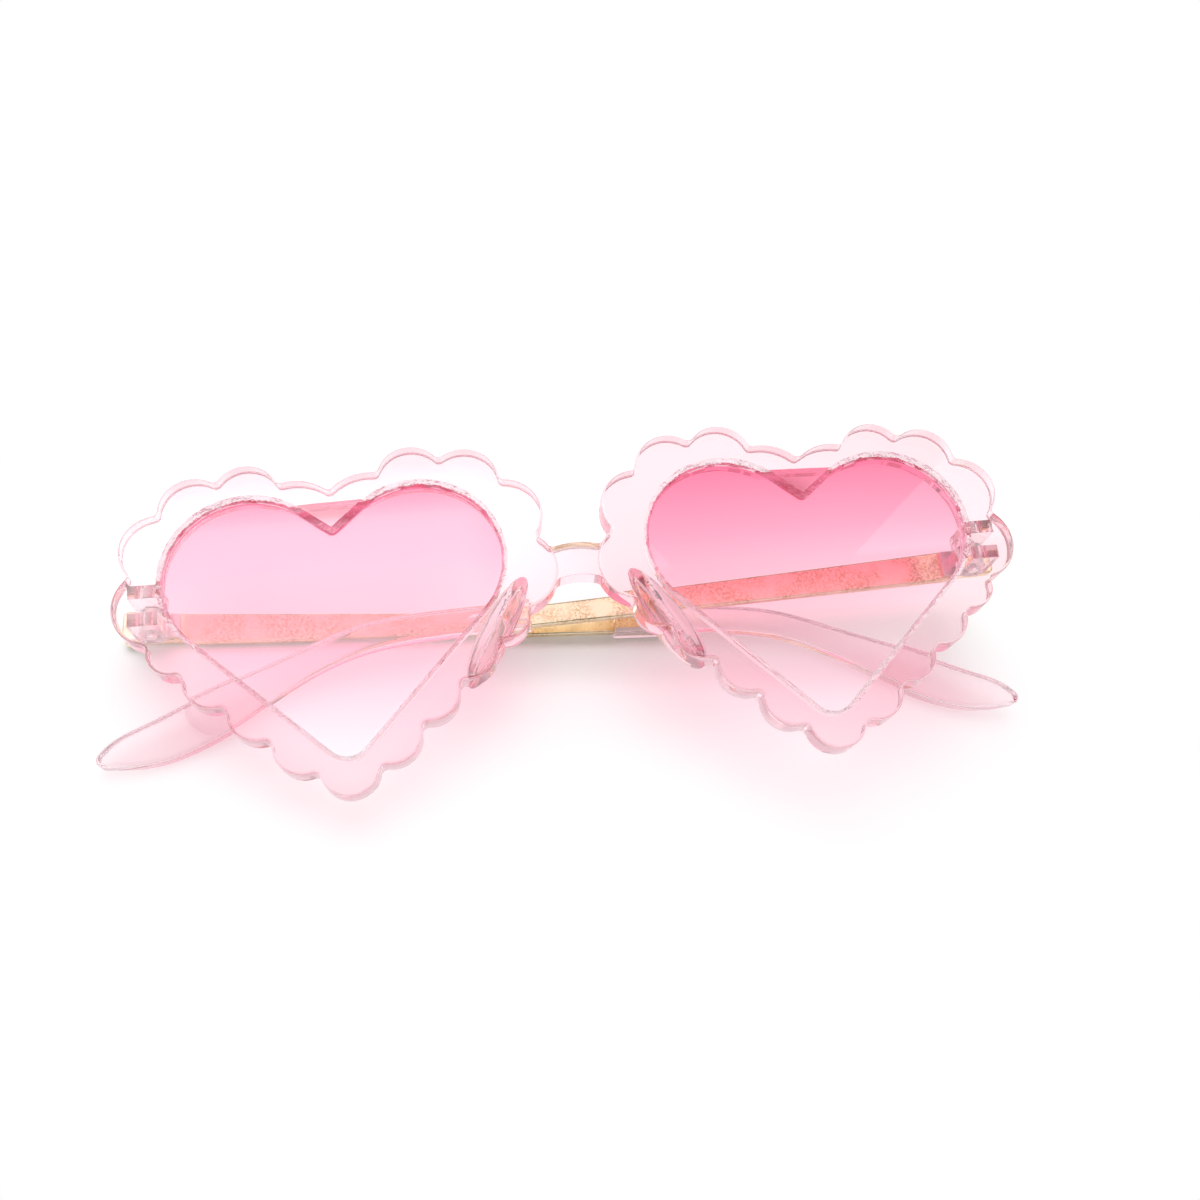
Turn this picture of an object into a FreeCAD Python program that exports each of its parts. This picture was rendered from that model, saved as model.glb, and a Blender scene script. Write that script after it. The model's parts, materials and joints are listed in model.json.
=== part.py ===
"""Folded heart shaped sunglasses: scalloped clear front, tinted lenses and flat metal temples.

The pieces are built in the frame of the front: x runs across the face towards the wearer's
left, y up the face and z out of it, with the front face at z = 0. The folded pair is then
laid on a table at z = 0, on the temple tips and the outer temple. Sizes are in millimetres.
"""

import FreeCAD, Part
import math
import os

Vector = FreeCAD.Vector

# Heart opening: two round lobes, sides at a slope, a rounded point and a V notch
OPENING_HALF_GAP = 10.6
HEART_LEAN_DEG = 1.7
LOBE_RADIUS = 11.7
LOBE_HALF_GAP = 0.3
LOBE_Y = -3.0
SIDE_SLOPE_DEG = 45.0
POINT_RADIUS = 3.0
NOTCH_ABOVE_LOBE = 5.5
NOTCH_RADIUS = 1.0
OPENING_BEVEL = 0.8

# Scalloped rim: the valleys between the scallops, by their distance outside the opening
NOTCH_VALLEY_RISE = 6.6
INNER_LOBE_WIDENING = 0.7
LOBE_VALLEYS = [(109.0, 3.1), (75.2, 3.7), (41.6, 4.6), (6.3, 4.6), (-32.2, 4.8)]
SIDE_VALLEY_COUNT = 4
SIDE_VALLEY_PITCH = 7.77
SIDE_VALLEY_START = -0.3
POINT_VALLEY_WIDTH = 3.1
SIDE_VALLEY_WIDENING = 0.33
NOTCH_SCALLOP_RISE = 1.0
SCALLOP_RISE_RATIO = 0.33
POINT_SCALLOP_RISE = 4.0
VALLEY_RADIUS = 0.8
FRONT_THICKNESS = 4.2
RIM_ROUNDING = 0.4

# Lens blank in its groove
LENS_OVERLAP = 0.6
LENS_TOP_ABOVE_LOBE = 10.5
LENS_THICKNESS = 1.8
LENS_DEPTH = 1.2
LENS_CLEARANCE = 0.03
GROOVE_LIP = 0.25

# Bridge bar between the hearts
BRIDGE_TOP_Y = -1.8
BRIDGE_BOTTOM_Y = -6.8
BRIDGE_RISE = 4.2
BRIDGE_CORNER = 1.0
BRIDGE_INSET = 1.9
BRIDGE_BELOW_ROUNDING = 0.1

# Nose pads: half ellipsoids on the back of the inner rims
PAD_HALF_LENGTH = 9.0
PAD_HALF_WIDTH = 2.2
PAD_STAND = 5.8
PAD_ALONG_SIDE = 25.0
PAD_OUTSIDE = 3.0
PAD_TURN_DEG = 12.0
PAD_TILT_DEG = 12.0

# Hinge: moulded knuckles with a slot for the eyelet, and a slotted screw
HINGE_OUTSIDE = 3.4
HINGE_BELOW_LOBE = 2.5
HINGE_DEPTH = 9.6
KNUCKLE_RADIUS = 2.1
KNUCKLE_HEIGHT = 2.0
SLOT_HEIGHT = 2.1
SCREW_RADIUS = 0.7
SCREW_FIT = 0.02
SCREW_HEAD_RADIUS = 1.2
SCREW_HEAD_HEIGHT = 0.7
SCREW_SLOT_WIDTH = 0.35
SCREW_SLOT_DEPTH = 0.35

# Hinge eyelet: a round tab on a foot that lies on the strip
EYELET_RADIUS = 1.9
EYELET_FIT = 0.05
EYELET_SIDE_GAP = 0.1
FOOT_LENGTH = 6.5
FOOT_HEIGHT = 4.0
FOOT_THICKNESS = 0.6

# Temple strip, measured from the hinge axis, with the tongue that carries the tip
STRIP_OFFSET = 4.0
STRIP_THICKNESS = 1.4
STRIP_LEAD = 4.7
STRIP_LENGTH = 68.4
STRIP_HEIGHT = 4.9
STRIP_END_HEIGHT = 3.2
STRIP_CORNER = 1.0
STRIP_ROUNDING = 0.3
TONGUE_LENGTH = 8.0
TONGUE_HEIGHT = 1.8
TEMPLE_BOW_RADIUS = 2000.0
TEMPLE_DROP_DEG = 2.4

# Temple tip: a sleeve that curves towards the head and bends down into the ear hook
TIP_LENGTH = 64.5
TIP_THICKNESS = 2.7
TIP_CURVE_START = 9.6
TIP_CURVE_RADIUS = 250.0
TIP_BEND_START = 15.6
TIP_BEND_RADIUS = 41.0
TIP_BEND_DEG = 25.5
TIP_NOSE_RISE = 1.0
TIP_NOSE_RADIUS = 1.1
TIP_NOSE_TAPER_DEG = 30.0
TIP_ROUNDING = 0.6
TONGUE_CLEARANCE = 0.03
TONGUE_END_ROOM = 1.4

# Side outline of the tip: share of its length, rise above the centre line and depth below it
TIP_SECTIONS = [
    (0.0, 2.1, 2.1),
    (0.24, 2.1, 2.1),
    (0.395, 2.1, 2.1),
    (0.55, 2.2, 2.2),
    (0.767, 3.0, 3.6),
    (0.88, 3.0, 3.1),
]

# Folded angles of the temples, from parallel with the front
LEFT_FOLD_DEG = 0.2
RIGHT_FOLD_DEG = 5.5

# Fineness of the search for the points that touch the table
TOUCH_FINENESS = 0.02
TOUCH_PASSES = 6

# How far a flat face may stray from its height
FLATNESS = 0.001

LOBE_X = LOBE_RADIUS + LOBE_HALF_GAP
LOBE = Vector(LOBE_X, LOBE_Y, 0)
HEART_X = OPENING_HALF_GAP + LOBE_RADIUS + LOBE_X
SIDE_ANGLE = SIDE_SLOPE_DEG - 90.0
NOTCH_Y = LOBE_Y + NOTCH_ABOVE_LOBE
BRIDGE_ROOT = OPENING_HALF_GAP - BRIDGE_INSET
BRIDGE_SETBACK = RIM_ROUNDING + BRIDGE_BELOW_ROUNDING
HINGE_X = HEART_X + LOBE_X + LOBE_RADIUS + HINGE_OUTSIDE
HINGE_Y = LOBE_Y - HINGE_BELOW_LOBE
KNUCKLE_REACH = SLOT_HEIGHT / 2 + KNUCKLE_HEIGHT
TEMPLE_LENGTH = STRIP_LENGTH + TIP_LENGTH


def arc(start, middle, end):
    """Return an edge along the circle through three points."""
    return Part.Arc(start, middle, end).toShape()


def line(start, end):
    """Return a straight edge."""
    return Part.LineSegment(start, end).toShape()


def face_of(edges):
    """Return the flat face inside a closed outline."""
    return Part.Face(Part.Wire(Part.__sortEdges__(edges)))


def slab(edges, bottom, top):
    """Return the solid between two heights with the given closed outline in x and y."""
    face = face_of(edges)
    face.translate(Vector(0, 0, bottom))
    return face.extrude(Vector(0, 0, top - bottom))


def on_circle(centre, radius, degrees):
    """Return the point of a circle at an angle."""
    angle = math.radians(degrees)
    return centre + Vector(math.cos(angle), math.sin(angle), 0) * radius


def mirror_x(shape):
    """Return the shape mirrored to the other side."""
    return shape.mirror(Vector(0, 0, 0), Vector(1, 0, 0))


def flip(point):
    """Return a point mirrored to the other side."""
    return Vector(-point.x, point.y, point.z)


def with_mirrors(shapes):
    """Return the shapes and their mirror images."""
    return shapes + [mirror_x(shape) for shape in shapes]


def point_centre():
    """Return the centre of the heart's rounded point, which touches both straight sides."""
    outward = on_circle(Vector(), 1.0, SIDE_ANGLE)
    reach = LOBE.dot(outward) + LOBE_RADIUS
    return Vector(0, (reach - POINT_RADIUS) / outward.y, 0)


def side_point(along, outside):
    """Return a point by its distance up the right side from the point, and outside the opening."""
    foot = on_circle(point_centre(), POINT_RADIUS + outside, SIDE_ANGLE)
    return on_circle(foot, along, SIDE_SLOPE_DEG)


def lower_heart(offset):
    """Return the edges of the heart below its lobes, grown by an offset, and the right lobe's end."""
    lobe_end = on_circle(LOBE, LOBE_RADIUS + offset, SIDE_ANGLE)
    side_end = on_circle(point_centre(), POINT_RADIUS + offset, SIDE_ANGLE)
    bottom = on_circle(point_centre(), POINT_RADIUS + offset, -90.0)
    edges = with_mirrors([line(lobe_end, side_end)])
    edges.append(arc(side_end, bottom, flip(side_end)))
    return edges, lobe_end


def opening_outline():
    """Return the edges of the heart opening with its V notch."""
    notch = Vector(0, NOTCH_Y + NOTCH_RADIUS, 0)
    span = notch - LOBE
    towards_notch = math.degrees(math.atan2(span.y, span.x))
    swing = math.degrees(math.acos((LOBE_RADIUS + NOTCH_RADIUS) / span.Length))
    lobe_angle = towards_notch - swing
    lobe_start = on_circle(LOBE, LOBE_RADIUS, lobe_angle)
    notch_end = on_circle(notch, NOTCH_RADIUS, lobe_angle + 180.0)
    notch_low = on_circle(notch, NOTCH_RADIUS, -90.0)
    edges, lobe_end = lower_heart(0.0)
    round_lobe = arc(lobe_start, on_circle(LOBE, LOBE_RADIUS, SIDE_SLOPE_DEG), lobe_end)
    edges += with_mirrors([round_lobe, line(notch_end, lobe_start)])
    edges.append(arc(notch_end, notch_low, flip(notch_end)))
    return edges


def blank_outline(offset):
    """Return the edges of the lens blank, grown by an offset, with a straight top at the notch."""
    radius = LOBE_RADIUS + LENS_OVERLAP + offset
    rise = LENS_TOP_ABOVE_LOBE + offset
    corner = LOBE + Vector(-math.sqrt(radius**2 - rise**2), rise, 0)
    edges, lobe_end = lower_heart(LENS_OVERLAP + offset)
    edges += with_mirrors([arc(corner, on_circle(LOBE, radius, SIDE_SLOPE_DEG), lobe_end)])
    edges.append(line(flip(corner), corner))
    return edges


def rim_valleys(widening):
    """Return the rim's valleys from the notch round the right lobe and down to the point.

    The lobe's valleys lie further out by the widening, which grows in over the first of them.
    """
    valleys = [Vector(0, NOTCH_Y + NOTCH_VALLEY_RISE, 0)]
    for step, (degrees, width) in enumerate(LOBE_VALLEYS):
        width += widening * min(step + 1, 2) / 2
        valleys.append(on_circle(LOBE, LOBE_RADIUS + width, degrees))
    for step in reversed(range(SIDE_VALLEY_COUNT)):
        width = POINT_VALLEY_WIDTH + SIDE_VALLEY_WIDENING * step
        valleys.append(side_point(SIDE_VALLEY_START + SIDE_VALLEY_PITCH * step, width))
    return valleys


def scallop_circle(start, end, rise):
    """Return the centre, radius and peak of the scallop that rises between two valleys."""
    chord = end - start
    outward = Vector(-chord.y, chord.x, 0).normalize()
    radius = (chord.Length**2 / 4 + rise**2) / (2 * rise)
    peak = (start + end) * 0.5 + outward * rise
    return peak - outward * radius, radius, peak


def valley_circle(before, after):
    """Return the centre of the small hollow that touches two neighbouring scallops outside."""
    span = after[0] - before[0]
    reach = before[1] + VALLEY_RADIUS
    other = after[1] + VALLEY_RADIUS
    along = (span.Length**2 + reach**2 - other**2) / (2 * span.Length)
    across = math.sqrt(reach**2 - along**2)
    direction = Vector(span).normalize()
    return before[0] + direction * along + Vector(-direction.y, direction.x, 0) * across


def rim_outline():
    """Return the edges of the scalloped rim, with a rounded hollow in every valley."""
    inner = [flip(point) for point in rim_valleys(INNER_LOBE_WIDENING)]
    valleys = rim_valleys(0.0) + inner[:0:-1]
    ends = valleys[1:] + valleys[:1]
    rises = [SCALLOP_RISE_RATIO * (end - start).Length for start, end in zip(valleys, ends)]
    rises[0] = NOTCH_SCALLOP_RISE
    rises[-1] = NOTCH_SCALLOP_RISE
    rises[len(inner) - 1] = POINT_SCALLOP_RISE
    scallops = [scallop_circle(*shape) for shape in zip(valleys, ends, rises)]
    edges = []
    starts = []
    stops = []
    for index, after in enumerate(scallops):
        before = scallops[index - 1]
        hollow = valley_circle(before, after)
        first = before[0] + (hollow - before[0]).normalize() * before[1]
        last = after[0] + (hollow - after[0]).normalize() * after[1]
        low = hollow + (valleys[index] - hollow).normalize() * VALLEY_RADIUS
        edges.append(arc(first, low, last))
        starts.append(last)
        stops.append(first)
    for start, scallop, stop in zip(starts, scallops, stops[1:] + stops[:1]):
        edges.append(arc(start, scallop[2], stop))
    return edges


def to_heart(shape):
    """Return a shape moved from the heart's own axis to its leaning place on the face."""
    placed = shape.copy()
    placed.rotate(Vector(0, LOBE_Y - LOBE_RADIUS / 2, 0), Vector(0, 0, 1), -HEART_LEAN_DEG)
    placed.translate(Vector(HEART_X, 0, 0))
    return placed


def bridge():
    """Return the bridge bar, arched along its top and bottom, with its ends inside the hearts."""
    edges = []
    ends = []
    for middle_y in (BRIDGE_TOP_Y, BRIDGE_BOTTOM_Y):
        end = Vector(BRIDGE_ROOT, middle_y - BRIDGE_RISE, 0)
        edges.append(arc(end, Vector(0, middle_y, 0), flip(end)))
        ends.append(end)
    edges += with_mirrors([line(*ends)])
    return slab(edges, -FRONT_THICKNESS, 0.0)


def bridge_corners(plate):
    """Return the upright edges of the plate where the bridge runs into the hearts."""
    corners = []
    for edge in plate.Edges:
        box = edge.BoundBox
        upright = box.ZLength > FRONT_THICKNESS / 2 and max(box.XLength, box.YLength) < BRIDGE_CORNER
        low = BRIDGE_BOTTOM_Y - BRIDGE_RISE / 2
        on_bridge = abs(box.Center.x) < BRIDGE_ROOT and low < box.Center.y < BRIDGE_TOP_Y
        if upright and on_bridge:
            corners.append(edge)
    return corners


def flat_faces(plate, height):
    """Return the faces of a plate that lie flat at a height."""
    boxes = [(face, face.BoundBox) for face in plate.Faces]
    return [face for face, box in boxes if max(height - box.ZMin, box.ZMax - height) < FLATNESS]


def bridge_step(hearts):
    """Return the space in front of the bridge bar, between the fronts of the hearts."""
    corner = Vector(-BRIDGE_ROOT, BRIDGE_BOTTOM_Y - 2 * BRIDGE_RISE, -BRIDGE_SETBACK)
    height = BRIDGE_TOP_Y - BRIDGE_BOTTOM_Y + 3 * BRIDGE_RISE
    return Part.makeBox(2 * BRIDGE_ROOT, height, FRONT_THICKNESS, corner).cut(hearts)


def rim_plate():
    """Return both scalloped hearts and the bridge as one plate with rounded edges."""
    hearts = with_mirrors([to_heart(slab(rim_outline(), -FRONT_THICKNESS, 0.0))])
    plate = bridge().fuse(hearts).removeSplitter()
    plate = plate.makeFillet(BRIDGE_CORNER, bridge_corners(plate)).cut(bridge_step(hearts))
    faces = flat_faces(plate, 0.0) + flat_faces(plate, -FRONT_THICKNESS)
    rims = [edge for face in faces for edge in face.OuterWire.Edges]
    return plate.makeFillet(RIM_ROUNDING, rims)


def mouth_edges(plate):
    """Return the edges of the heart openings in the flat front of the plate."""
    fronts = flat_faces(plate, 0.0)
    mouths = [wire for front in fronts for wire in front.Wires if not wire.isSame(front.OuterWire)]
    return [edge for wire in mouths for edge in wire.Edges]


def nose_pad():
    """Return the nose pad of the left heart, standing on the back of its inner rim."""
    stretch = FreeCAD.Matrix()
    stretch.scale(PAD_HALF_LENGTH, PAD_HALF_WIDTH, PAD_STAND)
    pad = Part.makeSphere(1.0).transformGeometry(stretch)
    place = flip(side_point(PAD_ALONG_SIDE, PAD_OUTSIDE))
    pad.rotate(Vector(), Vector(0, 1, 0), PAD_TILT_DEG)
    pad.rotate(Vector(), Vector(0, 0, 1), -SIDE_SLOPE_DEG - PAD_TURN_DEG)
    pad.translate(place + Vector(0, 0, -FRONT_THICKNESS))
    behind = Part.makeBox(4 * PAD_HALF_LENGTH, 4 * PAD_HALF_LENGTH, 2 * PAD_STAND)
    behind.translate(place - Vector(2 * PAD_HALF_LENGTH, 2 * PAD_HALF_LENGTH, 2 * PAD_STAND))
    behind.translate(Vector(0, 0, -FRONT_THICKNESS / 2))
    return to_heart(pad.common(behind))


def hinge_column(radius, bottom, top):
    """Return a cylinder on the left hinge axis, between heights from the hinge's middle."""
    foot = Vector(HINGE_X, HINGE_Y + bottom, -HINGE_DEPTH)
    return Part.makeCylinder(radius, top - bottom, foot, Vector(0, 1, 0))


def knuckle(bottom):
    """Return one hinge knuckle of the left side, from a height above the hinge's middle."""
    corner = Vector(HINGE_X - KNUCKLE_RADIUS, HINGE_Y + bottom, -HINGE_DEPTH)
    stand = HINGE_DEPTH - FRONT_THICKNESS / 2
    block = Part.makeBox(2 * KNUCKLE_RADIUS, KNUCKLE_HEIGHT, stand, corner)
    return block.fuse(hinge_column(KNUCKLE_RADIUS, bottom, bottom + KNUCKLE_HEIGHT))


def front_frame():
    """Return the clear front with openings, grooves, bridge, nose pads and knuckles."""
    behind = -2 * FRONT_THICKNESS
    opening = to_heart(slab(opening_outline(), behind, FRONT_THICKNESS))
    groove_back = -LENS_DEPTH - LENS_THICKNESS - LENS_CLEARANCE
    groove = to_heart(slab(blank_outline(LENS_CLEARANCE), groove_back, -LENS_DEPTH))
    entry = to_heart(slab(blank_outline(-GROOVE_LIP), -FRONT_THICKNESS, groove_back))
    plate = rim_plate().cut(with_mirrors([opening]))
    plate = plate.makeChamfer(OPENING_BEVEL, mouth_edges(plate))
    knuckles = [knuckle(SLOT_HEIGHT / 2), knuckle(-KNUCKLE_REACH)]
    plate = plate.fuse(with_mirrors([nose_pad()] + knuckles))
    bore = hinge_column(SCREW_RADIUS + SCREW_FIT, -2 * KNUCKLE_REACH, 2 * KNUCKLE_REACH)
    seat_bottom = KNUCKLE_REACH - SCREW_HEAD_HEIGHT
    seat = hinge_column(SCREW_HEAD_RADIUS + SCREW_FIT, seat_bottom, 2 * KNUCKLE_REACH)
    return plate.cut(with_mirrors([groove, entry, bore, seat])).removeSplitter()


def lens():
    """Return the left lens blank, held between the groove's front and back lips."""
    return to_heart(slab(blank_outline(0.0), -LENS_DEPTH - LENS_THICKNESS, -LENS_DEPTH))


def hinge_screw():
    """Return the left hinge screw with its slotted head flush in the upper knuckle."""
    head_bottom = KNUCKLE_REACH - SCREW_HEAD_HEIGHT
    shank = hinge_column(SCREW_RADIUS, -KNUCKLE_REACH, head_bottom)
    head = hinge_column(SCREW_HEAD_RADIUS, head_bottom, KNUCKLE_REACH)
    slot = Part.makeBox(4 * SCREW_HEAD_RADIUS, SCREW_SLOT_DEPTH, SCREW_SLOT_WIDTH)
    slot.translate(Vector(HINGE_X - 2 * SCREW_HEAD_RADIUS, HINGE_Y + KNUCKLE_REACH, -HINGE_DEPTH))
    slot.translate(Vector(0, -SCREW_SLOT_DEPTH, -SCREW_SLOT_WIDTH / 2))
    return shank.fuse(head).cut(slot).removeSplitter()


def bow_point(distance, offset):
    """Return the plan point at a distance along the temple's bow, offset towards the head.

    A temple's own frame has its origin on the hinge axis, x along it, y to the head and z up.
    """
    centre = Vector(0, TEMPLE_BOW_RADIUS - STRIP_OFFSET, 0)
    curve_start = STRIP_LENGTH + TIP_CURVE_START
    turned = math.degrees(min(distance, curve_start) / TEMPLE_BOW_RADIUS) - 90.0
    if distance <= curve_start:
        return on_circle(centre, TEMPLE_BOW_RADIUS - offset, turned)
    curve_centre = on_circle(centre, TEMPLE_BOW_RADIUS - TIP_CURVE_RADIUS, turned)
    turned += math.degrees((distance - curve_start) / TIP_CURVE_RADIUS)
    return on_circle(curve_centre, TIP_CURVE_RADIUS - offset, turned)


def bowed_band(thickness, stops):
    """Return a tall band of a thickness along the temple's bow, with an arc between stops."""
    edges = []
    for side in (-thickness / 2, thickness / 2):
        for start, end in zip(stops, stops[1:]):
            points = [bow_point(distance, side) for distance in (start, (start + end) / 2, end)]
            edges.append(arc(*points))
    for stop in (stops[0], stops[-1]):
        edges.append(line(bow_point(stop, -thickness / 2), bow_point(stop, thickness / 2)))
    return slab(edges, -TEMPLE_LENGTH, TEMPLE_LENGTH)


def strip_band(thickness):
    """Return a band of a thickness along the strip and its tongue."""
    return bowed_band(thickness, [-2 * STRIP_LEAD, STRIP_LENGTH + TIP_CURVE_START])


def side_solid(edges):
    """Return the solid of a side outline in x and z, running across the whole temple."""
    face = face_of(edges)
    face.translate(Vector(0, -TEMPLE_LENGTH, 0))
    return face.extrude(Vector(0, 2 * TEMPLE_LENGTH, 0))


def centre_line(distance):
    """Return the place and heading of the temple's side centre line, at a distance from the hinge."""
    slope = -math.radians(TEMPLE_DROP_DEG)
    bend_start = STRIP_LENGTH + TIP_BEND_START
    bend = min(max(distance - bend_start, 0.0), TIP_BEND_RADIUS * math.radians(TIP_BEND_DEG))
    turned = slope - bend / TIP_BEND_RADIUS
    chord_slope = (slope + turned) / 2
    chord = 2 * TIP_BEND_RADIUS * math.sin((slope - turned) / 2)
    heading = Vector(math.cos(turned), 0, math.sin(turned))
    place = Vector(math.cos(slope), 0, math.sin(slope)) * min(distance, bend_start)
    place += Vector(math.cos(chord_slope), 0, math.sin(chord_slope)) * chord
    place += heading * max(distance - bend_start - bend, 0.0)
    return place, heading


def beside_line(distance, height):
    """Return the side point at a distance from the hinge, at a height above the centre line."""
    place, heading = centre_line(distance)
    return place + Vector(-heading.z, 0, heading.x) * height


def tongue_outline(clearance, end_room):
    """Return the side outline of the rounded tongue that carries the tip, grown by a clearance."""
    half = TONGUE_HEIGHT / 2 + clearance
    start = STRIP_LENGTH - STRIP_CORNER
    stop = STRIP_LENGTH + TONGUE_LENGTH - TONGUE_HEIGHT / 2 + end_room
    corners = [beside_line(at, side) for at in (start, stop) for side in (-half, half)]
    return [
        line(corners[0], corners[1]),
        line(corners[0], corners[2]),
        line(corners[1], corners[3]),
        arc(corners[2], beside_line(stop + half, 0.0), corners[3]),
    ]


def temple_arm():
    """Return the metal strip with its tongue, rounded at the hinge end and along its edges."""
    low, high = -STRIP_HEIGHT / 2, STRIP_HEIGHT / 2
    end_low, end_high = -STRIP_END_HEIGHT / 2, STRIP_END_HEIGHT / 2
    corner = STRIP_CORNER
    upper = beside_line(corner - STRIP_LEAD, high)
    lower = beside_line(corner - STRIP_LEAD, low)
    front_high = beside_line(-STRIP_LEAD, high - corner)
    front_low = beside_line(-STRIP_LEAD, low + corner)
    inset = corner * (1 - math.sqrt(0.5))
    outline = [
        line(front_low, front_high),
        arc(front_high, beside_line(inset - STRIP_LEAD, high - inset), upper),
        arc(front_low, beside_line(inset - STRIP_LEAD, low + inset), lower),
        line(upper, beside_line(STRIP_LENGTH, end_high)),
        line(lower, beside_line(STRIP_LENGTH, end_low)),
        line(beside_line(STRIP_LENGTH, end_low), beside_line(STRIP_LENGTH, end_high)),
    ]
    band = strip_band(STRIP_THICKNESS)
    strip = band.common(side_solid(outline))
    long_edges = [edge for edge in strip.Edges if edge.Length > STRIP_LENGTH / 2]
    strip = strip.makeFillet(STRIP_ROUNDING, long_edges)
    tongue = band.common(side_solid(tongue_outline(0.0, 0.0)))
    return strip.fuse(tongue).removeSplitter()


def hinge_eyelet():
    """Return the steel eyelet: a round tab with the screw hole, on a foot that lies on the strip."""
    half = SLOT_HEIGHT / 2 - EYELET_SIDE_GAP
    tab = Part.makeBox(2 * EYELET_RADIUS, STRIP_OFFSET, 2 * half)
    tab.translate(Vector(-EYELET_RADIUS, -STRIP_OFFSET, -half))
    foot = Part.makeBox(FOOT_LENGTH, FOOT_THICKNESS + STRIP_THICKNESS / 2, FOOT_HEIGHT)
    foot.translate(Vector(-FOOT_LENGTH / 2, -STRIP_OFFSET, -FOOT_HEIGHT / 2))
    eye = Part.makeCylinder(EYELET_RADIUS, 2 * half, Vector(0, 0, -half))
    hole = Part.makeCylinder(SCREW_RADIUS + EYELET_FIT, 4 * half, Vector(0, 0, -2 * half))
    solid = tab.fuse([foot, eye]).cut([hole, strip_band(STRIP_THICKNESS)])
    return solid.removeSplitter()


def nose_touch(side):
    """Return where an edge of the tip runs into its round nose, above or below, and its heading there."""
    heading = centre_line(TEMPLE_LENGTH)[1]
    across = Vector(-heading.z, 0, heading.x) * side
    centre = beside_line(TEMPLE_LENGTH - TIP_NOSE_RADIUS, TIP_NOSE_RISE)
    sine = math.sin(math.radians(TIP_NOSE_TAPER_DEG))
    cosine = math.cos(math.radians(TIP_NOSE_TAPER_DEG))
    touch = centre + (heading * sine + across * cosine) * TIP_NOSE_RADIUS
    return touch, heading * cosine - across * sine


def tip_edge(side):
    """Return the tip's long edge above or below its centre line, and the two ends of that edge."""
    points = []
    for share, above, below in TIP_SECTIONS:
        height = above if side > 0 else -below
        points.append(beside_line(STRIP_LENGTH + share * TIP_LENGTH, height))
    touch, end_heading = nose_touch(side)
    points.append(touch)
    start_heading = centre_line(STRIP_LENGTH)[1]
    curve = Part.BSplineCurve()
    curve.interpolate(Points=points, InitialTangent=start_heading, FinalTangent=end_heading)
    return curve.toShape(), points[0], touch


def temple_tip():
    """Return the clear sleeve with the ear hook and the cavity for the tongue."""
    upper, upper_start, upper_end = tip_edge(1)
    lower, lower_start, lower_end = tip_edge(-1)
    nose = arc(upper_end, beside_line(TEMPLE_LENGTH, TIP_NOSE_RISE), lower_end)
    edges = [upper, lower, nose, line(upper_start, lower_start)]
    stops = [STRIP_LENGTH - TONGUE_LENGTH, STRIP_LENGTH + TIP_CURVE_START, 2 * TEMPLE_LENGTH]
    sleeve = bowed_band(TIP_THICKNESS, stops).common(side_solid(edges))
    long_edges = [edge for edge in sleeve.Edges if edge.BoundBox.XLength > TIP_THICKNESS]
    sleeve = sleeve.makeFillet(TIP_ROUNDING, long_edges)
    cavity = strip_band(STRIP_THICKNESS + 2 * TONGUE_CLEARANCE)
    cavity = cavity.common(side_solid(tongue_outline(TONGUE_CLEARANCE, TONGUE_END_ROOM)))
    return sleeve.cut(cavity)


def fold(shape, degrees):
    """Return a left temple piece moved from its own frame to its folded place behind the front."""
    angle = math.radians(degrees)
    along = Vector(-math.cos(angle), 0, -math.sin(angle))
    up = Vector(0, 1, 0)
    inward = up.cross(along)
    hinge = Vector(HINGE_X, HINGE_Y, -HINGE_DEPTH)
    return shape.transformed(FreeCAD.Matrix(along, inward, up, hinge), True)


def lowest_point(shape, upward):
    """Return the point of a shape that lies furthest against a direction."""
    points = shape.tessellate(TOUCH_FINENESS)[0]
    return min(points, key=lambda point: point.dot(upward))


def table_normal(supports):
    """Return the direction up from a table that touches three supports of the folded pair."""
    upward = Vector(0, 0, 1)
    for _ in range(TOUCH_PASSES):
        first, second, third = [lowest_point(shape, upward) for shape in supports]
        upward = (second - first).cross(third - first).normalize()
        upward = upward * math.copysign(1.0, upward.z)
    return upward


def lay_down(pieces, supports):
    """Return the pieces turned so that the supports stand on z = 0, centred over the origin."""
    upward = table_normal(supports)
    across = (Vector(1, 0, 0) - upward * upward.x).normalize()
    away = upward.cross(across)
    turn = FreeCAD.Matrix(across, away, upward, Vector()).inverse()
    turned = {name: shape.transformed(turn, True) for name, shape in pieces.items()}
    points = [point for shape in turned.values() for point in shape.tessellate(TOUCH_FINENESS)[0]]
    middle = Vector(
        -(min(point.x for point in points) + max(point.x for point in points)) / 2,
        -(min(point.y for point in points) + max(point.y for point in points)) / 2,
        -min(point.z for point in points),
    )
    for shape in turned.values():
        shape.translate(middle)
    return turned


def main():
    """Build every piece, lay the folded pair on the table and write one file per piece."""
    pieces = {"front_frame": front_frame()}
    fixed = {"lens": lens(), "hinge_screw": hinge_screw()}
    temple = {"temple_arm": temple_arm(), "hinge_eyelet": hinge_eyelet(), "temple_tip": temple_tip()}
    for name, shape in fixed.items():
        pieces["left_" + name] = shape
        pieces["right_" + name] = mirror_x(shape)
    for name, shape in temple.items():
        pieces["left_" + name] = fold(shape, LEFT_FOLD_DEG)
        pieces["right_" + name] = mirror_x(fold(shape, RIGHT_FOLD_DEG))
    supports = [pieces[name] for name in ("left_temple_tip", "right_temple_tip", "right_temple_arm")]
    os.makedirs("parts", exist_ok=True)
    for name, shape in lay_down(pieces, supports).items():
        shape.exportStep("parts/" + name + ".step")
        print(name, len(shape.Solids), shape.isValid(), round(shape.Volume, 1), shape.BoundBox)


main()
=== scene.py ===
"""Studio picture of the folded heart shaped sunglasses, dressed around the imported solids."""

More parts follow.
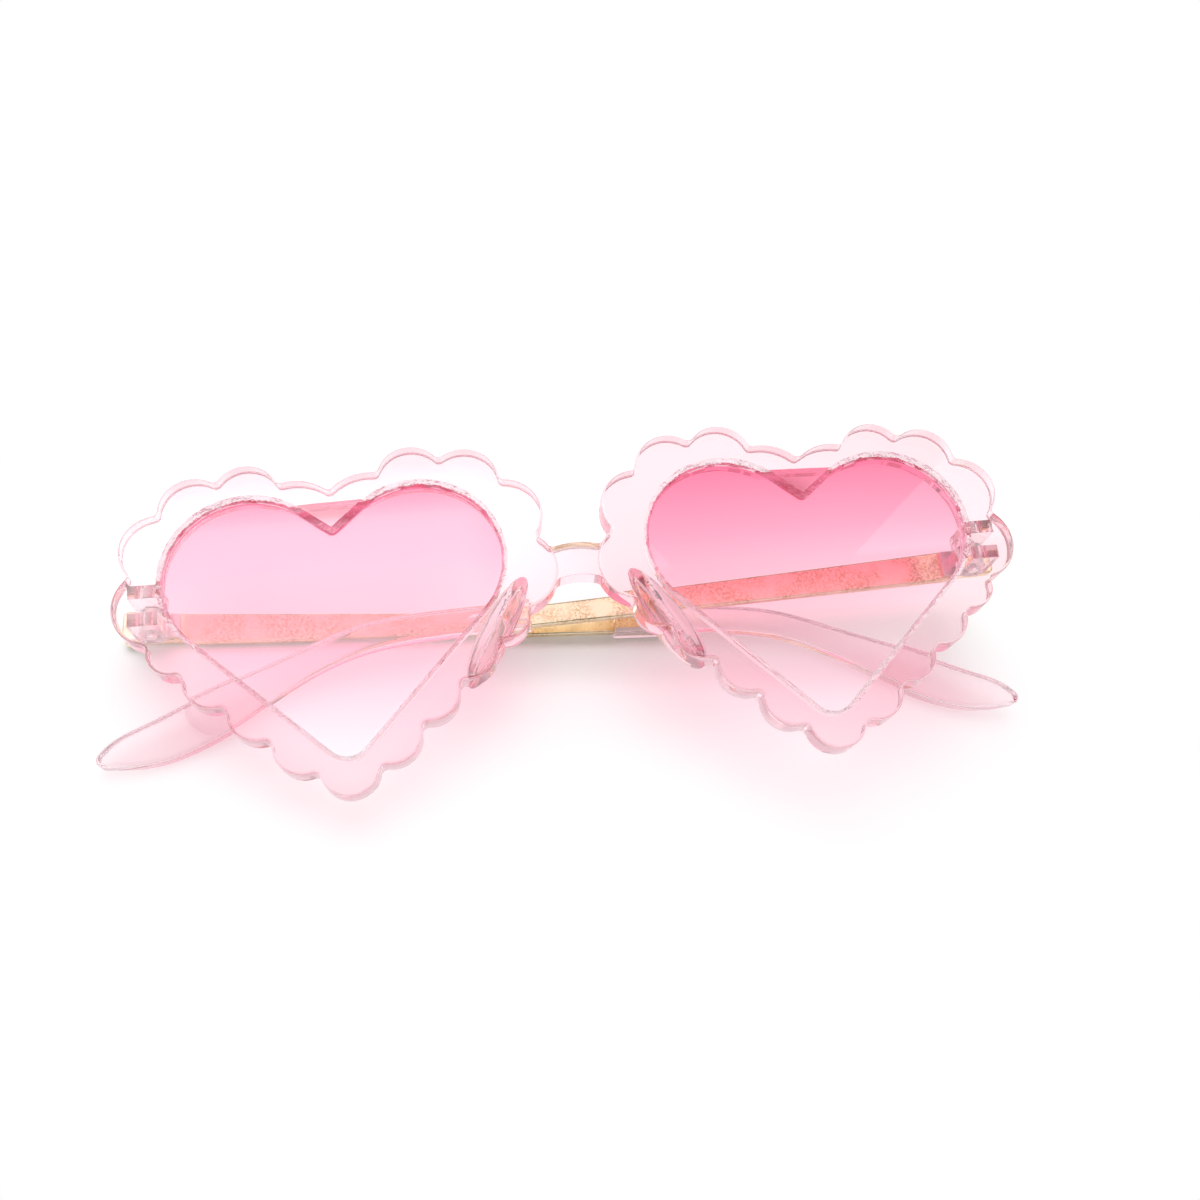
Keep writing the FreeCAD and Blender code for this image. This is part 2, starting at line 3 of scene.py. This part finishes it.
import json
import logging
import math
from dataclasses import dataclass
from enum import Enum
from typing import Any, Optional, Union

import bpy
from mathutils import Matrix, Vector

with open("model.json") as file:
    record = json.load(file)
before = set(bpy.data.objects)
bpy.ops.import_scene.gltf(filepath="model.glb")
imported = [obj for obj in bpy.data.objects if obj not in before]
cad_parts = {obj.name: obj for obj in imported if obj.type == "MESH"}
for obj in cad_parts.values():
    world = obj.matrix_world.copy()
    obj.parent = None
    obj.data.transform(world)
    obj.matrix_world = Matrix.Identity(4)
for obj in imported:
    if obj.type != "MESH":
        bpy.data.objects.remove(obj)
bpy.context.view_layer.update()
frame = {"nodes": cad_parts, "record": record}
MILLIMETRE = 0.001
IMAGE_SIDE = 1200.0

Colour = tuple[float, float, float]
Point = tuple[float, float, float]
Pair = tuple[float, float]
Node = bpy.types.Node
Socket = bpy.types.NodeSocket
Material = bpy.types.Material

WHITE: Colour = (1.0, 1.0, 1.0)
# Where the hinges lie below the face's origin and behind the front face, in millimetres.
HINGE_BELOW = 5.5
HINGE_BEHIND = 9.6
# The sockets of a Mix node that blends colours.
MIX_SHARE, MIX_FIRST, MIX_SECOND, MIX_RESULT = 0, 6, 7, 2

log = logging.getLogger("sunglasses")


class Side(Enum):
    """The wearer's two sides, as the node names write them."""

    LEFT = "left"
    RIGHT = "right"


class Detail(Enum):
    """How many octaves a noise has."""

    SOFT = 2.0
    FINE = 3.0
    RICH = 4.0


class Showing(Enum):
    """Which reflections a lit card shows in."""

    FIRST = "only where nothing clear was passed"
    INSIDE = "only past a clear piece"
    ALL = "all"


def rgba(colour: Colour) -> tuple[float, float, float, float]:
    """Return a colour with full alpha."""
    return (*colour, 1.0)


@dataclass(frozen=True)
class FaceFrame:
    """The front's own axes in the row frame: across the face, up it and out of it."""

    origin: Vector
    across: Vector
    up: Vector
    out: Vector

    @classmethod
    def from_record(cls, record: dict[str, Any], below: float, behind: float) -> "FaceFrame":
        """Find the face from the hinge joints and the flat front face of the record.

        Args:
            record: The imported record.
            below: How far the hinges lie below the face's origin, in millimetres.
            behind: How far the hinges lie behind the front face, in millimetres.

        Returns:
            The frame of the face at rest.
        """
        joints = {joint["name"]: joint for joint in record["behaviour"]["joints"]}
        mounts = {mount["name"]: mount for mount in record["mounts"]}
        up = Vector(joints["right_hinge"]["axis"]).normalized()
        out = Vector(mounts["front_face"]["axis"]).normalized()
        hinges = [Vector(joints[f"{side.value}_hinge"]["pos_m"]) for side in Side]
        middle = (hinges[0] + hinges[1]) / 2
        origin = middle + (up * below + out * behind) * MILLIMETRE
        return cls(origin, up.cross(out), up, out)

    def point(self, across: float, up: float, out: float) -> Vector:
        """Return the row point at distances along the face's axes, in millimetres."""
        return self.origin + (self.across * across + self.up * up + self.out * out) * MILLIMETRE


class NodeTree:
    """The node tree of a material or the world under construction."""

    def __init__(self, owner: Union[Material, bpy.types.World], output: str) -> None:
        """Start a tree that holds only its output node.

        Args:
            owner: The material or world that the tree belongs to.
            output: The output node's type name without its common prefix.
        """
        owner.use_nodes = True
        self.tree = owner.node_tree
        self.tree.nodes.clear()
        self.output = self.node(output)

    def node(self, kind: str, inputs: Optional[dict[Any, Any]] = None, **settings: Any) -> Node:
        """Add a node.

        Args:
            kind: The node's type name without its common prefix.
            inputs: Values by socket name or index, or sockets to link from.
            **settings: Properties set on the node.

        Returns:
            The new node.
        """
        made = self.tree.nodes.new("ShaderNode" + kind)
        for name, value in settings.items():
            setattr(made, name, value)
        for name, value in (inputs or {}).items():
            if isinstance(value, Socket):
                self.tree.links.new(value, made.inputs[name])
            else:
                made.inputs[name].default_value = value
        return made

    def math(self, operation: str, first: Any, second: Any) -> Socket:
        """Return the socket of two numbers or sockets joined by a Math node's operation."""
        return self.node("Math", {0: first, 1: second}, operation=operation).outputs[0]

    def span(self, value: Socket, low: Any, high: Any, start: float = 0.0, end: float = 1.0) -> Socket:
        """Return the socket of a value mapped from start..end to low..high, held at the ends."""
        inputs = {"Value": value, "From Min": start, "From Max": end, "To Min": low, "To Max": high}
        return self.node("MapRange", inputs).outputs["Result"]

    def blend(self, share: Any, first: Socket, second: Socket) -> Socket:
        """Return the socket of two shaders mixed by the second's share, a number or a socket."""
        return self.node("MixShader", {0: share, 1: first, 2: second}).outputs[0]

    def path(self, name: str) -> Socket:
        """Return a socket of the light path by its name."""
        return self.node("LightPath").outputs[name]

    def surface(self, shader: Socket) -> None:
        """Use a shader as the surface."""
        self.tree.links.new(shader, self.output.inputs["Surface"])


class Shader(NodeTree):
    """A material's node tree under construction."""

    # Past more mirrored bounces than this a ray leaves a clear piece unbent, as one that goes
    # on inside for long would end black.
    mirrors: float = 1.5

    def __init__(self, name: str) -> None:
        """Start an empty material with its output node."""
        self.material = bpy.data.materials.new(name)
        super().__init__(self.material, "OutputMaterial")

    def place(self) -> Socket:
        """Return the socket of the object's own coordinates."""
        return self.node("TexCoord").outputs["Object"]

    def facing(self) -> Socket:
        """Return the socket of the surface's own normal on the object's axes."""
        return self.node("TexCoord").outputs["Normal"]

    def along(self, vector: Socket, axis: Vector) -> Socket:
        """Return the socket of a vector's share along an axis."""
        return self.node("VectorMath", {0: vector, 1: axis}, operation="DOT_PRODUCT").outputs["Value"]

    def noise(self, scale: float, detail: Detail = Detail.SOFT) -> Socket:
        """Return the socket, 0 to 1, of a noise with a scale in waves per metre."""
        inputs = {"Vector": self.place(), "Scale": scale, "Detail": detail.value}
        return self.node("TexNoise", inputs).outputs["Fac"]

    def bump(self, height: Socket, depth: float, normal: Optional[Socket] = None) -> Socket:
        """Make a relief.

        Args:
            height: The relief's height socket.
            depth: Depth of the relief in millimetres.
            normal: A normal socket that this relief is added to.

        Returns:
            The normal socket.
        """
        inputs = {"Height": height, "Distance": depth * MILLIMETRE, "Strength": 1.0}
        if normal is not None:
            inputs["Normal"] = normal
        return self.node("Bump", inputs).outputs["Normal"]

    def glow(self, strength: Any) -> Socket:
        """Return the socket of a white glow of a strength or its socket."""
        return self.node("Emission", {"Color": rgba(WHITE), "Strength": strength}).outputs[0]

    def straight(self, tint: Any) -> Socket:
        """Return the socket of a surface that lets light through unbent in a tint or its socket."""
        return self.node("BsdfTransparent", {"Color": tint}).outputs[0]

    def let_lamps_through(self, clear: Socket, tint: Any) -> Socket:
        """Let light reach what lies behind a clear surface, unbent and tinted.

        Args:
            clear: The clear surface's own shader.
            tint: The colour that each pass through the surface gives, or its socket.

        Returns:
            The socket of the shader that joins both.
        """
        straight = self.straight(tint)
        late = self.math("GREATER_THAN", self.path("Glossy Depth"), self.mirrors)
        leave = self.blend(late, clear, straight)
        ways = {"Is Shadow Ray": straight, "Is Diffuse Ray": straight, "Is Glossy Ray": leave}
        for kind, way in ways.items():
            clear = self.blend(self.path(kind), clear, way)
        return clear

    def volume(self, shader: Socket) -> None:
        """Use a shader as the volume."""
        self.tree.links.new(shader, self.output.inputs["Volume"])


@dataclass(frozen=True)
class ClearPlastic:
    """Clear tinted moulded plastic: pale through its faces, stronger along its edges."""

    name: str = "clear_pink_plastic"
    surface: Colour = (0.99, 0.978, 0.983)
    deep: Colour = (0.975, 0.61, 0.70)
    density: float = 125.0
    lamp_tint: Colour = (0.95, 0.93, 0.935)
    index: float = 1.49
    wave_scale: float = 160.0
    wave_depth: float = 0.02
    fine_scale: float = 2600.0
    fine_depth: float = 0.0006
    roughness: Pair = (0.015, 0.05)
    slope_start: Pair = (0.60, 0.66)
    slope_end: Pair = (0.75, 0.81)
    ripple_scale: float = 550.0
    ripple_depth: float = 1.6

    def material(self, face: FaceFrame) -> Material:
        """Make the material, with a livelier relief on the slopes between front and walls.

        Args:
            face: The frame of the face, whose slopes are told by their normals.

        Returns:
            The material.
        """
        shader = Shader(self.name)
        fine = shader.noise(self.fine_scale, Detail.FINE)
        normal = shader.bump(shader.noise(self.wave_scale), self.wave_depth)
        normal = shader.bump(fine, self.fine_depth, normal)
        normal = shader.bump(self.glints(shader, face), self.ripple_depth, normal)
        inputs = {
            "Base Color": rgba(self.surface),
            "Roughness": shader.span(fine, *self.roughness),
            "IOR": self.index,
            "Transmission Weight": 1.0,
            "Normal": normal,
        }
        clear = shader.node("BsdfPrincipled", inputs).outputs[0]
        shader.surface(shader.let_lamps_through(clear, rgba(self.lamp_tint)))
        inside = {"Color": rgba(self.deep), "Density": self.density}
        shader.volume(shader.node("VolumeAbsorption", inside).outputs[0])
        return shader.material

    def glints(self, shader: Shader, face: FaceFrame) -> Socket:
        """Make the height of the ripple that only the slopes carry.

        Args:
            shader: The material under construction.
            face: The frame of the face.

        Returns:
            The height socket.
        """
        level = shader.along(shader.facing(), face.out)
        rise = shader.span(level, 0.0, 1.0, *self.slope_start)
        fall = shader.span(level, 1.0, 0.0, *self.slope_end)
        slope = shader.math("MULTIPLY", rise, fall)
        return shader.math("MULTIPLY", shader.noise(self.ripple_scale, Detail.FINE), slope)


@dataclass(frozen=True)
class TintedLens:
    """Flat lens with a tint that fades from the top of the face to the bottom."""

    name: str = "pink_gradient_lens"
    stops: tuple[tuple[float, Colour], ...] = (
        (0.0, (0.99, 0.98, 0.99)),
        (0.25, (0.99, 0.92, 0.95)),
        (0.5, (0.985, 0.64, 0.75)),
        (0.75, (0.98, 0.37, 0.53)),
        (1.0, (0.97, 0.21, 0.37)),
    )
    top_up: float = 8.0
    bottom_up: float = -31.0
    index: float = 1.5
    smear_scale: float = 90.0
    wave_depth: float = 0.002
    roughness: Pair = (0.0, 0.02)
    # Light passes two faces, so each gives it the root of the tint.
    one_face: float = 0.5

    def material(self, face: FaceFrame) -> Material:
        """Make the material, with its tint set by the height on the face.

        Args:
            face: The frame of the face that the heights are counted on.

        Returns:
            The material.
        """
        shader = Shader(self.name)
        tint = self.tint(shader, face)
        smear = shader.noise(self.smear_scale, Detail.RICH)
        inputs = {
            "Base Color": tint,
            "Roughness": shader.span(smear, *self.roughness),
            "IOR": self.index,
            "Transmission Weight": 1.0,
            "Normal": shader.bump(smear, self.wave_depth),
        }
        clear = shader.node("BsdfPrincipled", inputs).outputs[0]
        root = shader.node("Gamma", {"Color": tint, "Gamma": self.one_face}).outputs[0]
        shader.surface(shader.let_lamps_through(clear, root))
        return shader.material

    def tint(self, shader: Shader, face: FaceFrame) -> Socket:
        """Make the tint that fades down the face.

        Args:
            shader: The material under construction.
            face: The frame of the face.

        Returns:
            The colour socket.
        """
        height = shader.along(shader.place(), face.up)
        base = face.origin.dot(face.up)
        low, high = (base + edge * MILLIMETRE for edge in (self.bottom_up, self.top_up))
        ramp = shader.node("ValToRGB", {"Fac": shader.span(height, 0.0, 1.0, low, high)})
        elements = ramp.color_ramp.elements
        elements.remove(elements[1])
        elements[0].position, first = self.stops[0]
        elements[0].color = rgba(first)
        for position, colour in self.stops[1:]:
            elements.new(position).color = rgba(colour)
        return ramp.outputs["Color"]


@dataclass(frozen=True)
class Metal:
    """Plain metal with a worn, slightly uneven polish."""

    name: str
    bright: Colour
    dull: Colour
    roughness: Pair
    grain_scale: float
    grain_depth: float
    patch_scale: float = 220.0
    patch_edges: Pair = (0.42, 0.58)
    speck_edges: Pair = (0.40, 0.56)

    def material(self) -> Material:
        """Make the material.

        Returns:
            The material.
        """
        shader = Shader(self.name)
        grain = shader.noise(self.grain_scale, Detail.FINE)
        patches = shader.noise(self.patch_scale, Detail.RICH)
        worn = shader.span(patches, 0.0, 1.0, *self.patch_edges)
        specks = shader.span(grain, 0.0, 1.0, *self.speck_edges)
        share = shader.math("MAXIMUM", worn, specks)
        tones = {MIX_SHARE: share, MIX_FIRST: rgba(self.dull), MIX_SECOND: rgba(self.bright)}
        polish = {
            "Base Color": shader.node("Mix", tones, data_type="RGBA").outputs[MIX_RESULT],
            "Metallic": 1.0,
            "Roughness": shader.span(grain, *self.roughness),
            "Normal": shader.bump(grain, self.grain_depth),
        }
        shader.surface(shader.node("BsdfPrincipled", polish).outputs[0])
        return shader.material


GOLD = Metal(
    "polished_gold",
    bright=(0.97, 0.84, 0.60),
    dull=(0.70, 0.50, 0.27),
    roughness=(0.12, 0.30),
    grain_scale=2600.0,
    grain_depth=0.008,
)
STEEL = Metal(
    "plain_hinge_steel",
    bright=(0.90, 0.84, 0.82),
    dull=(0.74, 0.68, 0.66),
    roughness=(0.22, 0.40),
    grain_scale=4000.0,
    grain_depth=0.002,
)


def wear(node: str, material: Material) -> None:
    """Give a node of the frame a material and report it.

    Args:
        node: Name of the node.
        material: The material that it wears.
    """
    piece = frame["nodes"][node]
    piece.data.materials.clear()
    piece.data.materials.append(material)
    log.info("%s wears %s", node, material.name)


@dataclass
class Front:
    """The clear front with its lenses and hinge screws."""

    face: FaceFrame
    plastic: Material
    steel: Material
    lens: TintedLens = TintedLens()

    def dress(self) -> None:
        """Give the front's pieces their materials."""
        wear("front_frame", self.plastic)
        tint = self.lens.material(self.face)
        for side in Side:
            wear(f"{side.value}_lens", tint)
            wear(f"{side.value}_hinge_screw", self.steel)


@dataclass
class Temple:
    """One folding temple: metal strip, hinge eyelet and clear tip."""

    side: Side
    plastic: Material
    gold: Material
    steel: Material

    def dress(self) -> None:
        """Give the temple's pieces their materials."""
        wear(f"{self.side.value}_temple_arm", self.gold)
        wear(f"{self.side.value}_hinge_eyelet", self.steel)
        wear(f"{self.side.value}_temple_tip", self.plastic)


@dataclass(frozen=True)
class Card:
    """A lit card, given by the part of the face that mirrors it, in millimetres.

    The fades are the stretches across the face, then up it, over which its light comes in.
    """

    name: str
    middle: Pair
    size: Pair
    radiance: float
    turn_deg: float = 0.0
    behind: float = 0.0
    showing: Showing = Showing.FIRST
    fades: tuple[tuple[Pair, ...], ...] = ()


LEFT_WASH = Card(
    "left_wash",
    middle=(-30.0, -5.0),
    size=(90.0, 66.0),
    radiance=8.5,
    fades=(((4.0, -16.0),), ((-34.0, 3.0), (13.0, 4.0))),
)
RIGHT_CORNER = Card(
    "right_corner",
    middle=(58.0, -12.0),
    size=(30.0, 34.0),
    radiance=3.0,
    turn_deg=-49.0,
    fades=((), ((-7.6, -6.6),)),
)
BRIDGE_CORNER = Card(
    "bridge_corner",
    middle=(6.0, -10.0),
    size=(16.0, 20.0),
    radiance=3.0,
    turn_deg=34.0,
    fades=(((9.0, 12.0),), ((-7.6, -6.6),)),
)
CEILING = Card(
    "ceiling_card",
    middle=(10.0, -10.0),
    size=(200.0, 130.0),
    radiance=1.35,
    behind=20.0,
    showing=Showing.ALL,
)
FAR_CEILING = Card(
    "far_ceiling",
    middle=(10.0, -10.0),
    size=(520.0, 460.0),
    radiance=0.85,
    behind=40.0,
    showing=Showing.INSIDE,
)
CARDS = (LEFT_WASH, RIGHT_CORNER, BRIDGE_CORNER, CEILING, FAR_CEILING)


@dataclass(frozen=True)
class Softbox:
    """A square soft lamp, placed and aimed on the face's axes in millimetres."""

    name: str = "key_softbox"
    place: Point = (20.0, 340.0, 430.0)
    target: Point = (0.0, 0.0, 0.0)
    side: float = 0.6
    radiance: float = 2.8

    def hang(self, face: FaceFrame) -> None:
        """Hang the lamp.

        Args:
            face: The frame of the face.
        """
        data = bpy.data.lights.new(self.name, "AREA")
        data.shape = "SQUARE"
        data.size = self.side
        data.energy = self.radiance * math.pi * self.side * self.side
        lamp = bpy.data.objects.new(self.name, data)
        bpy.context.scene.collection.objects.link(lamp)
        lamp.visible_glossy = False
        lamp.visible_transmission = False
        spot = face.point(*self.place)
        turn = (face.point(*self.target) - spot).to_track_quat("-Z", "Y").to_matrix().to_4x4()
        lamp.matrix_world = Matrix.Translation(spot) @ turn
        log.info("%s hung", self.name)


@dataclass
class Studio:
    """White floor, a soft lamp, lit cards and a pale room."""

    face: FaceFrame
    key: Softbox = Softbox()
    floor_size: float = 4.0
    floor_gap: float = 0.00005
    floor_colour: Colour = (0.93, 0.93, 0.93)
    # What the floor glows by itself near the object, and how far from it pure white begins.
    glow: float = 0.12
    shadow_reach: Pair = (0.06, 0.10)
    room_high: float = 0.35
    room_back: float = 0.85
    room_front: float = 0.45
    # The part of the way from front to back over which the room brightens.
    room_turn: Pair = (-1.0, 0.3)
    card_depth: float = 500.0
    card_scale: float = 4.02
    card_middle: Pair = (51.2, 219.5)
    # Between no clear surface passed and one.
    first_pass: float = 0.5

    def build(self) -> None:
        """Make the floor, the lamp, the cards and the room."""
        self.floor()
        self.key.hang(self.face)
        for card in CARDS:
            self.card(card)
        self.room()

    def floor(self) -> None:
        """Make the white floor that keeps the shadow close to the object."""
        bpy.ops.object.select_all(action="DESELECT")
        bpy.ops.mesh.primitive_plane_add(size=self.floor_size, location=(0.0, 0.0, -self.floor_gap))
        plane = bpy.context.object
        plane.name = "floor"
        shader = Shader("white_floor")
        seen = shader.math("MAXIMUM", shader.path("Is Camera Ray"), shader.path("Is Glossy Ray"))
        seen = shader.math("MAXIMUM", seen, shader.path("Is Transmission Ray"))
        distance = shader.node("VectorMath", {0: shader.place()}, operation="LENGTH").outputs["Value"]
        far = shader.math("MULTIPLY", seen, shader.span(distance, 0.0, 1.0, *self.shadow_reach))
        lit = shader.node("BsdfDiffuse", {"Color": rgba(self.floor_colour)}).outputs[0]
        lift = shader.glow(shader.math("MULTIPLY", seen, self.glow))
        near = shader.node("AddShader", {0: lit, 1: lift}).outputs[0]
        shader.surface(shader.blend(far, near, shader.glow(1.0)))
        plane.data.materials.append(shader.material)
        log.info("floor laid")

    def card(self, card: Card) -> None:
        """Hang a lit card that shows only in glossy and clear surfaces, where the face mirrors it.

        Args:
            card: The card.
        """
        size = [span * self.card_scale * MILLIMETRE for span in card.size]
        middle = [place * self.card_scale + shift for place, shift in zip(card.middle, self.card_middle)]
        bpy.ops.object.select_all(action="DESELECT")
        bpy.ops.mesh.primitive_plane_add(size=1.0)
        plane = bpy.context.object
        plane.name = card.name
        axes = Matrix((self.face.across, self.face.up, self.face.out)).transposed().to_4x4()
        spot = Matrix.Translation(self.face.point(*middle, self.card_depth + card.behind))
        turn = Matrix.Rotation(math.radians(card.turn_deg), 4, "Z")
        plane.data.transform(spot @ axes @ turn @ Matrix.Diagonal((*size, 1.0, 1.0)))
        plane.data.materials.append(self.card_light(card))
        plane.visible_camera = False
        plane.visible_diffuse = False
        plane.visible_shadow = False
        log.info("%s hung", card.name)

    def card_light(self, card: Card) -> Material:
        """Make a card's material, which lets the room show where the card is unlit.

        Args:
            card: The card.

        Returns:
            The material.
        """
        shader = Shader(card.name)
        share: Any = 1.0
        if card.showing is not Showing.ALL:
            test = "LESS_THAN" if card.showing is Showing.FIRST else "GREATER_THAN"
            share = shader.math(test, shader.path("Transmission Depth"), self.first_pass)
        for axis, shift, edges in zip((self.face.across, self.face.up), self.card_middle, card.fades):
            along = shader.along(shader.place(), axis)
            base = self.face.origin.dot(axis)
            for edge in edges:
                start, end = (base + (place * self.card_scale + shift) * MILLIMETRE for place in edge)
                share = shader.math("MULTIPLY", share, shader.span(along, 0.0, 1.0, start, end))
        lit = shader.glow(card.radiance)
        shader.surface(shader.blend(share, shader.straight(rgba(WHITE)), lit))
        shader.material.cycles.emission_sampling = "NONE"
        return shader.material

    def room(self) -> None:
        """Make the room: dimmer overhead and in front, and white where the camera looks at it."""
        world = bpy.data.worlds.new("room")
        bpy.context.scene.world = world
        tree = NodeTree(world, "OutputWorld")
        place = tree.node("TexCoord").outputs["Generated"]
        way = tree.node("SeparateXYZ", {0: place}).outputs
        sides = tree.span(way["Y"], self.room_front, self.room_back, *self.room_turn)
        strength = tree.span(way["Z"], sides, self.room_high)
        room = tree.node("Background", {"Strength": strength}).outputs[0]
        white = tree.node("Background", {"Color": rgba(WHITE)}).outputs[0]
        tree.surface(tree.blend(tree.path("Is Camera Ray"), room, white))
        log.info("room set")


@dataclass
class PhotoCamera:
    """Camera at the photograph's place, given on the face's axes in millimetres."""

    face: FaceFrame
    eye: Point = (-16.94, -72.68, 165.50)
    target: Point = (2.467, -11.22, 0.0)
    roll_deg: float = -6.99
    focal_pixels: float = 1250.0
    sensor: float = 36.0

    def build(self) -> None:
        """Make the camera and give it to the scene."""
        eye = self.face.point(*self.eye)
        forward = (self.face.point(*self.target) - eye).normalized()
        side = forward.cross(self.face.up).normalized()
        upright = side.cross(forward)
        roll = math.radians(self.roll_deg)
        right = side * math.cos(roll) + upright * math.sin(roll)
        up = upright * math.cos(roll) - side * math.sin(roll)
        data = bpy.data.cameras.new("photo_camera")
        data.sensor_width = self.sensor
        data.lens = self.sensor * self.focal_pixels / IMAGE_SIDE
        data.clip_start = MILLIMETRE
        camera = bpy.data.objects.new("photo_camera", data)
        bpy.context.scene.collection.objects.link(camera)
        turn = Matrix((right, up, -forward)).transposed().to_4x4()
        camera.matrix_world = Matrix.Translation(eye) @ turn
        bpy.context.scene.camera = camera
        log.info("camera set")


def main() -> None:
    """Build and dress every part of the picture in order."""
    logging.basicConfig(level=logging.INFO)
    bpy.context.scene.view_settings.view_transform = "Standard"
    face = FaceFrame.from_record(frame["record"], below=HINGE_BELOW, behind=HINGE_BEHIND)
    plastic = ClearPlastic().material(face)
    gold = GOLD.material()
    steel = STEEL.material()
    Front(face, plastic, steel).dress()
    for side in Side:
        Temple(side, plastic, gold, steel).dress()
    Studio(face).build()
    PhotoCamera(face).build()


if __name__ == "__main__":
    main()
